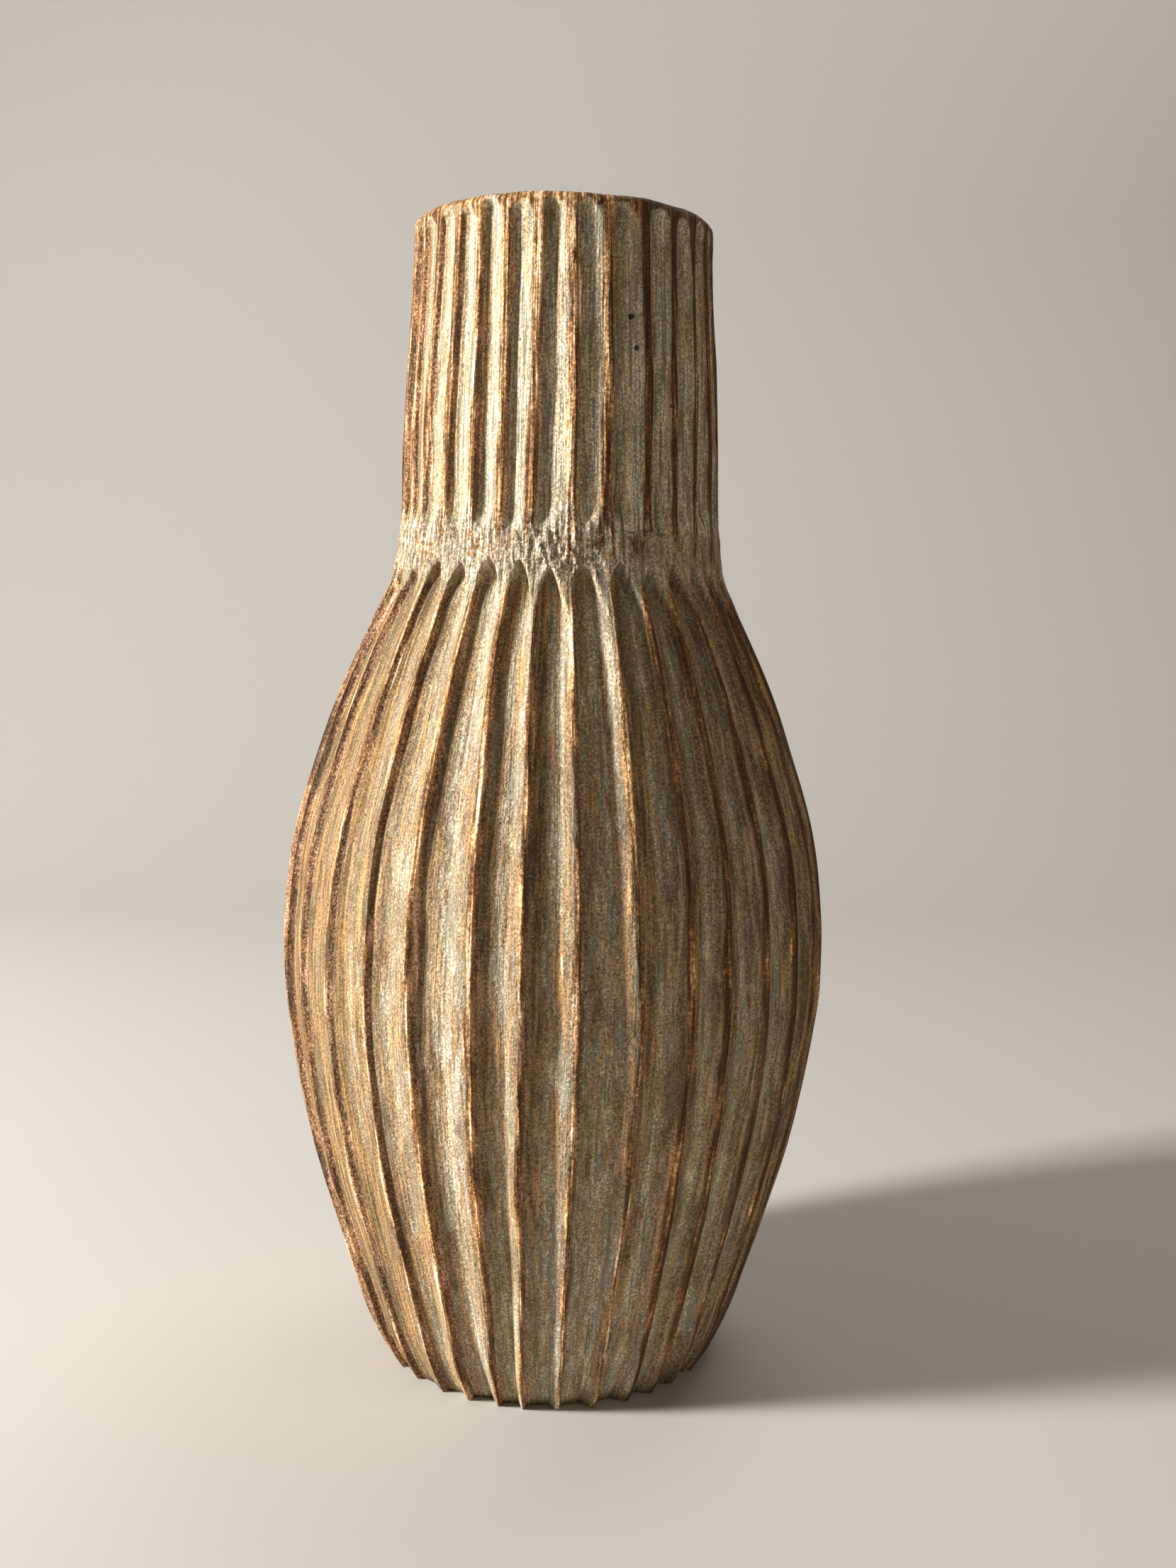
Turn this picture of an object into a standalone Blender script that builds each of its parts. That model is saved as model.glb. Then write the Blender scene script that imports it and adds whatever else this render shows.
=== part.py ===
"""A fluted stoneware vase: floor disc, belly wall, collar coil, neck wall and lip ring.

Metres, +Z up, origin at the middle of the foot. Azimuths are in degrees: 0 faces -Y and they
grow towards +X.
"""

import math

import bmesh
import bpy

HEIGHT = 0.360            # foot to top of the lip
GAP = 0.0003              # clearance kept between neighbouring clay members
WALL = 0.0080             # belly wall, from rib crest to inner face

SLAB_RADIUS = 0.0450
SLAB_THICKNESS = 0.0095
SLAB_CHAMFER = 0.0015

SHOULDER_Z = 0.2545       # where the belly's ribs stop under the collar
SEAM_Z = 0.2575           # level of the joint of belly and neck
NECK_START_Z = 0.2660     # where the neck's ribs begin above the collar
NECK_TOP_Z = 0.3545
SEAT_RADIUS = 0.0482      # smooth seat under the collar coil
THROAT_RADIUS = 0.0420    # inside of the neck at the seam
MOUTH_RADIUS = 0.0395     # inside of the neck at the lip

BELLY_RIBS = 34
BELLY_FLUTE_DEPTH = 0.0026
NECK_RIBS = 31
NECK_FLUTE_DEPTH = 0.0021
FLUTE_RUN_OUT = 0.0100    # height over which a flute fades at its end

# Azimuths of the steep rib edges that were set by eye. The rest share the remaining arc.
BELLY_FRONT = (-61, -49.5, -38, -27.5, -15.5, -6, 4.5, 16, 27, 36, 46.5, 57.5)
NECK_FRONT = (-64, -53, -41, -30.5, -19, -8, 5, 17.5, 32, 43.5, 56)
SPACING_DRIFT = 1.1       # degrees that the other ribs stray from even spacing

# One rib as four columns: (share of the way to the next rib's edge, share of the rib's height).
RIB_COLUMNS = ((0.05, 0.0), (0.50, 0.08), (0.78, 0.88), (0.97, 1.0))

# Inner face of the belly above the floor disc: (distance out from the disc, height).
FOOT_COVE = ((0.0095, 0.0210), (0.0050, 0.0140), (0.0, 0.0107))

# Bore of the neck as it narrows upwards: (less than the throat radius, height).
NECK_WAIST = (0.0008, 0.3000)

# Heights of the collar's rows, below its top.
COLLAR_ROWS = (0.0, 0.0035, 0.0070)

# Lip: (out from the mouth, below the top), then (in from the neck's outside, below the top).
LIP_INSIDE = ((0.0003, 0.0014), (0.0014, 0.0002), (0.0026, 0.0))
LIP_OUTSIDE = ((0.0032, 0.0002), (0.0018, 0.0012), (0.0006, 0.0029))

CUT_MARGIN = 0.002        # how far a cutter passes beyond the face that it opens

PLAIN_STEPS = 48
COLLAR_STEPS = 64

# Crest outline, (height, radius).
CREST_OUTLINE = (
    (0.0000, 0.0540), (0.0144, 0.0608), (0.0288, 0.0655), (0.0504, 0.0723),
    (0.0720, 0.0786), (0.0972, 0.0838), (0.1224, 0.0873), (0.1476, 0.0871),
    (0.1728, 0.0834), (0.1980, 0.0758), (0.2196, 0.0675), (0.2358, 0.0599),
    (0.2450, 0.0556), (0.2502, 0.0531), (0.2556, 0.0516), (0.2660, 0.0505),
    (0.2952, 0.0496), (0.3168, 0.0485), (0.3384, 0.0471), (0.3545, 0.0464),
)

BELLY_ROWS = (
    0.2545, 0.2500, 0.2450, 0.2358, 0.2196, 0.1980, 0.1728, 0.1476,
    0.1224, 0.0972, 0.0720, 0.0504, 0.0288, 0.0144, 0.0060, 0.0000,
)
NECK_ROWS = (0.3545, 0.3500, 0.3384, 0.3168, 0.2952, 0.2763, 0.2710, 0.2660)


def clear_scene():
    for obj in list(bpy.data.objects):
        bpy.data.objects.remove(obj, do_unlink=True)


def new_collection(name):
    collection = bpy.data.collections.new(name)
    bpy.context.scene.collection.children.link(collection)
    return collection


def clay(name, color, roughness):
    material = bpy.data.materials.new(name)
    material.use_nodes = True
    shader = material.node_tree.nodes["Principled BSDF"]
    shader.inputs["Base Color"].default_value = (*color, 1.0)
    shader.inputs["Roughness"].default_value = roughness
    shader.inputs["Metallic"].default_value = 0.0
    return material


def crest_radius(z):
    """Radius over the rib crests at height z, along a smooth curve through CREST_OUTLINE."""
    points = CREST_OUTLINE
    last = len(points) - 2
    at = next((i for i in range(last + 1) if z <= points[i + 1][0]), last)
    (z0, r0), (z1, r1) = points[at], points[at + 1]

    def slope(i):
        low, high = max(i - 1, 0), min(i + 1, last + 1)
        return (points[high][1] - points[low][1]) / (points[high][0] - points[low][0])

    t = (z - z0) / (z1 - z0)
    span = z1 - z0
    return (
        (2 * t**3 - 3 * t**2 + 1) * r0
        + (t**3 - 2 * t**2 + t) * span * slope(at)
        + (3 * t**2 - 2 * t**3) * r1
        + (t**3 - t**2) * span * slope(at + 1)
    )


def smooth_step(value):
    value = min(max(value, 0.0), 1.0)
    return value * value * (3 - 2 * value)


def rib_azimuths(front, count):
    """Azimuths of all steep rib edges, in order: the front ones, then the rest in the arc behind."""
    behind = count - len(front)
    pitch = (360 + front[0] - front[-1]) / (behind + 1)
    drift = [SPACING_DRIFT * math.sin(2.4 * k) for k in range(1, behind + 1)]
    return list(front) + [front[-1] + pitch * (k + 1) + drift[k] for k in range(behind)]


def turned(name, profile, steps, closed, collection):
    """A profile of (radius, height) points turned about Z with a Screw modifier."""
    mesh = bpy.data.meshes.new(name)
    count = len(profile)
    edges = [(i, i + 1) for i in range(count - 1)]
    if closed:
        edges.append((count - 1, 0))
    mesh.from_pydata([(r, 0.0, z) for r, z in profile], edges, [])
    obj = bpy.data.objects.new(name, mesh)
    collection.objects.link(obj)
    screw = obj.modifiers.new("Turn", "SCREW")
    screw.axis = "Z"
    screw.angle = 2 * math.pi
    screw.steps = steps
    screw.render_steps = steps
    screw.use_merge_vertices = True
    screw.merge_threshold = 0.00001
    return obj


def made_solid(obj):
    """Replaces obj's mesh by its evaluated one, so that its vertices can be moved."""
    bpy.context.view_layer.update()
    graph = bpy.context.evaluated_depsgraph_get()
    mesh = bpy.data.meshes.new_from_object(obj.evaluated_get(graph))
    obj.modifiers.clear()
    obj.data = mesh
    mesh.name = obj.name


def carve_flutes(obj, edges, depth, low_z, high_z, fade_low, fade_high):
    """Pulls the turned wall in between the ribs. low_z and high_z are where the flutes end."""
    columns = len(RIB_COLUMNS)
    step = 2 * math.pi / (columns * len(edges))
    bm = bmesh.new()
    bm.from_mesh(obj.data)
    bmesh.ops.remove_doubles(bm, verts=bm.verts, dist=0.00001)
    for vert in bm.verts:
        x, y, z = vert.co
        radius = math.hypot(x, y)
        if radius < GAP:
            continue
        column = round(math.atan2(y, x) / step) % (columns * len(edges))
        rib, place = divmod(column, columns)
        share, height = RIB_COLUMNS[place]
        following = edges[rib + 1] if rib + 1 < len(edges) else edges[0] + 360
        azimuth = edges[rib] + share * (following - edges[rib])
        fade = 1.0
        if fade_low:
            fade *= smooth_step((z - low_z) / FLUTE_RUN_OUT)
        if fade_high:
            fade *= smooth_step((high_z - z) / FLUTE_RUN_OUT)
        radius -= depth * (1 - height) * fade
        angle = math.radians(azimuth - 90)
        vert.co = (radius * math.cos(angle), radius * math.sin(angle), z)
    bm.to_mesh(obj.data)
    bm.free()


def hollow(obj, profile, cutters):
    """Cuts a turned hollow out of obj."""
    cutter = turned("hollow_of_" + obj.name, profile, PLAIN_STEPS, False, cutters)
    cutter.display_type = "WIRE"
    cutter.hide_render = True
    cut = obj.modifiers.new("Hollow", "BOOLEAN")
    cut.operation = "DIFFERENCE"
    cut.solver = "EXACT"
    cut.object = cutter


def finish(obj, material, angle=math.radians(35)):
    obj.data.materials.clear()
    obj.data.materials.append(material)
    if obj.data.polygons:
        obj.data.shade_smooth()
        obj.data.set_sharp_from_angle(angle=angle)
        return
    screw = obj.modifiers["Turn"]
    screw.use_smooth_shade = True


def base_slab(parts):
    """Round floor disc, flat underneath, its edges chamfered."""
    edge = SLAB_RADIUS
    profile = [
        (0.0, SLAB_THICKNESS),
        (edge - SLAB_CHAMFER, SLAB_THICKNESS),
        (edge, SLAB_THICKNESS - SLAB_CHAMFER),
        (edge, SLAB_CHAMFER / 2),
        (edge - SLAB_CHAMFER / 2, 0.0),
        (0.0, 0.0),
    ]
    obj = turned("base_slab", profile, PLAIN_STEPS, False, parts)
    finish(obj, clay("floor_clay", (0.42, 0.27, 0.16), 0.9))


def body_wall(parts, cutters):
    """The fluted belly. It stands round the floor disc and ends in a smooth seat."""
    profile = [(0.0, SEAM_Z), (SEAT_RADIUS, SEAM_Z), (SEAT_RADIUS, SHOULDER_Z)]
    profile += [(crest_radius(z), z) for z in BELLY_ROWS]
    profile += [(0.0, 0.0)]
    edges = rib_azimuths(BELLY_FRONT, BELLY_RIBS)
    steps = len(RIB_COLUMNS) * BELLY_RIBS
    obj = turned("body_wall", profile, steps, False, parts)
    made_solid(obj)
    carve_flutes(obj, edges, BELLY_FLUTE_DEPTH, 0.0, SHOULDER_Z, False, True)
    foot = SLAB_RADIUS + GAP
    above = SEAM_Z + CUT_MARGIN
    inner = [(0.0, above), (THROAT_RADIUS, above), (THROAT_RADIUS, SHOULDER_Z)]
    inner += [(crest_radius(z) - WALL, z) for z in BELLY_ROWS[2:12]]
    inner += [(foot + out, z) for out, z in FOOT_COVE]
    inner += [(foot, -CUT_MARGIN), (0.0, -CUT_MARGIN)]
    hollow(obj, inner, cutters)
    finish(obj, clay("belly_clay", (0.66, 0.54, 0.38), 0.85))


def collar_coil(parts):
    """Luting coil round the seam, in line with the rib crests of the belly and the neck."""
    inside = SEAT_RADIUS + GAP
    low, high = SHOULDER_Z + GAP, NECK_START_Z - GAP
    levels = [high - below for below in COLLAR_ROWS] + [low]
    profile = [(crest_radius(z), z) for z in levels]
    profile += [(inside, low), (inside, high)]
    obj = turned("collar_coil", profile, COLLAR_STEPS, True, parts)
    finish(obj, clay("collar_clay", (0.70, 0.58, 0.42), 0.9))


def neck_wall(parts, cutters):
    """The fluted neck, standing on the belly's top face."""
    foot = SEAM_Z + GAP
    profile = [(0.0, NECK_TOP_Z)]
    profile += [(crest_radius(z), z) for z in NECK_ROWS]
    profile += [(SEAT_RADIUS, NECK_START_Z), (SEAT_RADIUS, foot), (0.0, foot)]
    edges = rib_azimuths(NECK_FRONT, NECK_RIBS)
    steps = len(RIB_COLUMNS) * NECK_RIBS
    obj = turned("neck_wall", profile, steps, False, parts)
    made_solid(obj)
    carve_flutes(obj, edges, NECK_FLUTE_DEPTH, NECK_START_Z, NECK_TOP_Z, True, True)
    above, below = NECK_TOP_Z + CUT_MARGIN, foot - CUT_MARGIN
    narrower, waist_z = NECK_WAIST
    inner = [
        (0.0, above),
        (MOUTH_RADIUS, above),
        (MOUTH_RADIUS, NECK_TOP_Z),
        (THROAT_RADIUS - narrower, waist_z),
        (THROAT_RADIUS, foot),
        (THROAT_RADIUS, below),
        (0.0, below),
    ]
    hollow(obj, inner, cutters)
    finish(obj, clay("neck_clay", (0.64, 0.50, 0.34), 0.85))


def lip_ring(parts):
    """Smooth lip: an upright band that turns in over a bevel to a rounded top edge."""
    low = NECK_TOP_Z + GAP
    outer = crest_radius(NECK_TOP_Z)
    inside = [(MOUTH_RADIUS + out, HEIGHT - below) for out, below in LIP_INSIDE]
    outside = [(outer - back, HEIGHT - below) for back, below in LIP_OUTSIDE]
    profile = inside[1:] + outside + [(outer, low), (MOUTH_RADIUS, low)] + inside[:1]
    obj = turned("lip_ring", profile, PLAIN_STEPS, True, parts)
    finish(obj, clay("lip_clay", (0.40, 0.23, 0.12), 0.75))


def main():
    clear_scene()
    parts = new_collection("stoneware_vase")
    cutters = new_collection("cutters")
    base_slab(parts)
    body_wall(parts, cutters)
    collar_coil(parts)
    neck_wall(parts, cutters)
    lip_ring(parts)


main()
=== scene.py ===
"""Looks of the fluted stoneware vase: thrown and carved clay walls, slip, iron and torn clay.

Metres, +Z up. Azimuths are in degrees: 0 faces -Y, and they grow towards +X.
"""

import math

import bmesh
import bpy
import numpy as np
from mathutils import Matrix, Vector


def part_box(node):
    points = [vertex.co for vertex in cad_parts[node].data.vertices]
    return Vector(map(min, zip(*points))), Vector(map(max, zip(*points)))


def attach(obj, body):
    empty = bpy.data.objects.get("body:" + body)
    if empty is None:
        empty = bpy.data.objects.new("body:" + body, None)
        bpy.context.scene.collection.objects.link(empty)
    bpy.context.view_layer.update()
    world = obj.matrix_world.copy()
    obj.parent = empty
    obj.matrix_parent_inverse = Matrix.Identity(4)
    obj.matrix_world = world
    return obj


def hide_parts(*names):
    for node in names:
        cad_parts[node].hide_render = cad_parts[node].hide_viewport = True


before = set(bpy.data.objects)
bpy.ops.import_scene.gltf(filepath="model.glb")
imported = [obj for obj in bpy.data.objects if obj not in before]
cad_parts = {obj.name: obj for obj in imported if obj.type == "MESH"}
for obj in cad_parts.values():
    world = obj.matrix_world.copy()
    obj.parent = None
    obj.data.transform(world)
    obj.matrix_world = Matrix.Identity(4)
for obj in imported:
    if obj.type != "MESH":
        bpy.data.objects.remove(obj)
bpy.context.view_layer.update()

# ---------------------------------------------------------------- levels and walls, from the frame
SLAB_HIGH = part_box("base_slab")[1]
BODY_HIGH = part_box("body_wall")[1]
COLLAR_LOW, COLLAR_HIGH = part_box("collar_coil")
LIP_LOW, LIP_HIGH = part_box("lip_ring")

HEIGHT = LIP_HIGH.z
SLAB_RADIUS = SLAB_HIGH.x
SLAB_TOP = SLAB_HIGH.z
SHOULDER = COLLAR_LOW.z          # where the carved belly ends
NECK_START = COLLAR_HIGH.z       # where the carved neck begins
LIP = LIP_LOW.z                  # where the carved neck ends
SEAM = BODY_HIGH.z
WALL = 0.0080
THROAT_RADIUS = 0.0420
MOUTH_RADIUS = 0.0395
SPIGOT_RADIUS = 0.0478           # belly and neck where the luted band covers them
BAND_BORE = 0.0480               # inner radius of the luted band
BAND_PROUD = 0.00015             # how far the band stands out from the walls
NECK_TUCK = 0.0035               # how far the neck reaches down behind the band

# Outline over the rib crests, (height, radius): foot, belly, shoulder, collar, neck, lip.
CREST_OUTLINE = (
    (0.0000, 0.0540), (0.0144, 0.0608), (0.0288, 0.0655), (0.0504, 0.0722),
    (0.0720, 0.0783), (0.0972, 0.0833), (0.1224, 0.0866), (0.1476, 0.0864),
    (0.1728, 0.0829), (0.1980, 0.0754), (0.2196, 0.0674), (0.2358, 0.0599),
    (0.2450, 0.0555), (0.2502, 0.0530), (0.2556, 0.0515), (0.2660, 0.0504),
    (0.2952, 0.0495), (0.3168, 0.0484), (0.3384, 0.0470), (0.3545, 0.0463),
    (0.3600, 0.0462),
)

# ---------------------------------------------------------------- ribs
BELLY_RIBS = 34
NECK_RIBS = 31
RIB_COLUMNS = 22                 # mesh columns to a rib
STEEP_COLUMNS = 0.25             # this share of them stands on its steep edge,
STEEP_SHARE = 0.155              # which takes up this share of its width
BELLY_ROWS, COLLAR_ROWS, NECK_ROWS = 112, 36, 70
SPACING_DRIFT = 1.1              # degrees that the ribs behind stray from even spacing
BELLY_DEPTH = 0.0033             # from a rib's crest to the floor of its flute
NECK_DEPTH = 0.0021

# Steep edges of the ribs in front, as azimuths (at the top, half way, at the bottom).
BELLY_FRONT = (
    (-61, -61, -60), (-48, -50, -49), (-37.5, -38, -37), (-26.5, -27.5, -26.5),
    (-16, -15, -15.5), (-6.5, -5.5, -7.5), (3.5, 5, 4), (15.5, 16.5, 16), (27, 27, 28),
    (37, 35.5, 38), (47, 46.5, 47.5), (58, 57.5, 59),
)
NECK_FRONT = (
    (-64, -64, -65), (-51, -53, -55.5), (-40.5, -41, -42), (-31, -30.5, -30),
    (-20, -19, -19), (-7.5, -8, -9), (4, 5.5, 4.5), (17, 17.5, 17), (31.5, 32.5, 32),
    (45, 43.5, 43), (57, 55.5, 54.5),
)


def smooth_step(low, high, value):
    """0 at low, 1 at high, smooth between; low may be the greater one."""
    t = np.clip((value - low) / (high - low), 0, 1)
    return t * t * (3 - 2 * t)


def between(value, start, full, fading, gone):
    """1 from full to fading, and down to 0 at start and at gone."""
    return smooth_step(start, full, value) * (1 - smooth_step(fading, gone, value))


def hump(value, middle, half_width, top=1.0):
    """A ridge at middle with straight sides, cut off at 1."""
    return np.clip(top - np.abs(value - middle) / half_width, 0, 1)


def from_front(azimuth):
    """The same azimuth, from -180 to 180."""
    return (azimuth + 180) % 360 - 180


def crest_radius(z):
    """Radius over the rib crests, along a smooth curve through CREST_OUTLINE."""
    zs, rs = (np.array(v) for v in zip(*CREST_OUTLINE))
    slopes = np.gradient(rs, zs)
    z = np.clip(z, zs[0], zs[-1])
    at = np.clip(np.searchsorted(zs, z, side="right") - 1, 0, len(zs) - 2)
    span = zs[at + 1] - zs[at]
    t = (z - zs[at]) / span
    return (
        (2 * t**3 - 3 * t**2 + 1) * rs[at]
        + (t**3 - 2 * t**2 + t) * span * slopes[at]
        + (3 * t**2 - 2 * t**3) * rs[at + 1]
        + (t**3 - t**2) * span * slopes[at + 1]
    )


def clay_noise(azimuth, z, around, tall, seed):
    """Smooth noise from -1 to 1: `around` cells round the vase, each `tall` high.

    Each kind of mark has a seed of its own.
    """
    lattice = np.random.default_rng(seed).uniform(-1, 1, (int(HEIGHT / tall) + 4, around))
    u = (azimuth / 360 % 1) * around
    v = z / tall + 1
    iu, iv = np.floor(u).astype(int), np.floor(v).astype(int)
    fu, fv = u - iu, v - iv
    fu, fv = fu * fu * (3 - 2 * fu), fv * fv * (3 - 2 * fv)
    a, b = iu % around, (iu + 1) % around
    low = lattice[iv, a] * (1 - fu) + lattice[iv, b] * fu
    high = lattice[iv + 1, a] * (1 - fu) + lattice[iv + 1, b] * fu
    return low * (1 - fv) + high * fv


def round_noise(azimuth, around, seed):
    """clay_noise that changes only round the vase."""
    return clay_noise(azimuth, 0 * azimuth, around, 1.0, seed)


class Ribs:
    """The ribs of one wall: where their steep edges run, and how each one differs."""

    def __init__(self, front, count, low, high, seed):
        self.count, self.low, self.high, self.seed = count, low, high, seed
        behind = count - len(front)
        gap = 360 + front[0][1] - front[-1][1]
        even = [front[-1][1] + gap * (k + 1) / (behind + 1) for k in range(behind)]
        drift = [SPACING_DRIFT * math.sin(2.4 * (k + 1)) for k in range(behind)]
        lean = np.random.default_rng(seed).uniform(-1.3, 1.3, (behind, 2))
        rows = [list(f) for f in front]
        for k in range(behind):
            middle = even[k] + drift[k]
            rows.append([middle + lean[k, 0], middle, middle + lean[k, 1]])
        self.edges = np.array(rows)
        self.tune = np.random.default_rng(seed + 1).uniform(-1, 1, (count, 6))

    def edge(self, rib, z):
        """Azimuth of a rib's steep edge at height z; rib may be count, which is the first one again."""
        turn, rib = np.divmod(rib, self.count)
        t = np.clip((z - self.low) / (self.high - self.low), 0, 1)
        top, middle, bottom = (self.edges[rib, k] for k in range(3))
        upper = middle + (top - middle) * (2 * t - 1)
        lower = bottom + (middle - bottom) * 2 * t
        soft = smooth_step(0.35, 0.65, t)
        home = self.edges[rib, 1]
        sway = 0.45 * clay_noise(home, z, self.count, tall=0.045, seed=self.seed + 2)
        sway += 0.30 * clay_noise(home, z, self.count, tall=0.016, seed=self.seed + 3)
        sway += 0.14 * clay_noise(home, z, self.count, tall=0.007, seed=self.seed + 4)
        return lower * (1 - soft) + upper * soft + sway + 360 * turn

    def place(self, azimuth, z):
        """(rib, share of the way from its steep edge to the next one's) for a row at one height."""
        ids = np.arange(self.count + 1)
        edges = self.edge(ids, np.full(ids.shape, z))
        azimuth = (azimuth - edges[0]) % 360 + edges[0]
        rib = np.clip(np.searchsorted(edges, azimuth, side="right") - 1, 0, self.count - 1)
        return rib, (azimuth - edges[rib]) / (edges[rib + 1] - edges[rib])


BELLY = Ribs(BELLY_FRONT, BELLY_RIBS, low=0.0, high=SHOULDER, seed=11)
NECK = Ribs(NECK_FRONT, NECK_RIBS, low=NECK_START, high=LIP, seed=41)


# ---------------------------------------------------------------- marks on the clay, and painted shade
# Single cuts and bits left by the tool: (azimuth, height, half width in degrees, half height, depth).
LONE_MARKS = (
    (-26.0, 0.1440, 2.6, 0.0160, 0.0011), (-47.0, 0.2050, 2.2, 0.0110, 0.0009),
    (-14.0, 0.2010, 1.8, 0.0130, 0.0008), (26.5, 0.0360, 0.6, 0.0016, -0.0009),
    (-9.0, 0.1150, 0.8, 0.0090, 0.0004), (17.5, 0.0930, 0.7, 0.0040, -0.0005),
    (30.0, 0.1130, 0.6, 0.0030, -0.0005), (3.0, 0.3130, 0.9, 0.0045, 0.0006),
    (-54.0, 0.2930, 0.9, 0.0100, 0.0007), (29.0, 0.1380, 0.9, 0.0060, -0.0004),
)


def lone_marks(azimuth, z):
    """Depth of LONE_MARKS, in metres."""
    front = from_front(azimuth)
    cut = 0 * front
    for at, level, half_width, half_height, depth in LONE_MARKS:
        away = ((front - at) / half_width) ** 2 + ((z - level) / half_height) ** 2
        cut = cut + depth * np.exp(-1.5 * away)
    return cut


def tool_marks(azimuth, z):
    """Faint ripples and upright drag lines that a loop tool leaves, in metres."""
    ripple = clay_noise(azimuth, z, around=60, tall=0.011, seed=23)
    drag = clay_noise(azimuth, z, around=300, tall=0.030, seed=24)
    return 0.00016 * ripple + 0.00009 * drag


def torn_clay(azimuth, z):
    """Ragged upright slivers and chips of the luted band, in metres, mostly outwards."""
    lean = 250 * z
    slivers = 1 - np.abs(clay_noise(azimuth + lean, z, around=210, tall=0.0085, seed=71))
    fibres = 1 - np.abs(clay_noise(azimuth - lean, z, around=400, tall=0.0070, seed=72))
    chips = np.maximum(clay_noise(azimuth, z, around=120, tall=0.0055, seed=73), -0.25)
    return 0.00050 * (slivers**3 - 0.3) + 0.00026 * (fibres**2 - 0.35) + 0.00042 * chips


def roughness_of_band(azimuth):
    """How ragged the luted band is: most in front, calmer to the right."""
    front = from_front(azimuth)
    calm = between(front, 14, 30, 80, 110)
    worst = np.exp(-((front - 2) / 15) ** 2)
    patchy = 0.80 + 0.30 * round_noise(front, around=13, seed=74)
    return np.clip((1 - 0.72 * calm + 0.30 * worst) * patchy, 0, 1.5)


def ragged_top(azimuth):
    """Height of the luted band's torn upper edge."""
    level = NECK_START - 0.0006 + 0.0012 * round_noise(azimuth, around=70, seed=75)
    return level + 0.0007 * round_noise(azimuth, around=210, seed=76)


def toasted(azimuth, z):
    """Where the fire has browned the pot: its left side most, its right edge a little."""
    front = from_front(azimuth)
    left = smooth_step(-18, -58, front) * (1 - 0.60 * smooth_step(-66, -100, front))
    right = 0.65 * smooth_step(40, 72, front) * (1 - 0.38 * smooth_step(100, 150, front))
    toast = np.maximum(left, right) + 0.30 * clay_noise(azimuth, z, around=8, tall=0.06, seed=81)
    return np.clip(toast * (1 - 0.55 * smooth_step(0.23, 0.27, z)), 0, 1)


def in_the_lee(azimuth):
    """Painted shade on the right of the pot's face, the side turned from the light: its crests and
    flanks are painted darker there.
    """
    return between(from_front(azimuth), 12, 32, 95, 130)


def shallow_side(azimuth):
    """How much shallower the flutes are on the pot's left side."""
    return between(from_front(azimuth), -14, -42, -62, -82)


# ---------------------------------------------------------------- flutes
# share runs from 0 to 1 round a flute, from one rib's steep edge to the next one's.
def rising_flank(share, start, end):
    """0 to 1 up a rib's soft flank: hollow at its start, nearly straight to its crest."""
    straight = np.clip((share - start) / (end - start), 0, 1)
    return (0.3 * smooth_step(start, end, share) + 0.7 * straight) ** 0.85


def worn_crest(share, width, lean, top):
    """Mask of a rib's rubbed crest. lean moves it from the steep edge towards the soft flank."""
    signed = np.where(share < 0.5, share, share - 1)
    return hump(signed, -width * lean, width, top)


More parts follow.
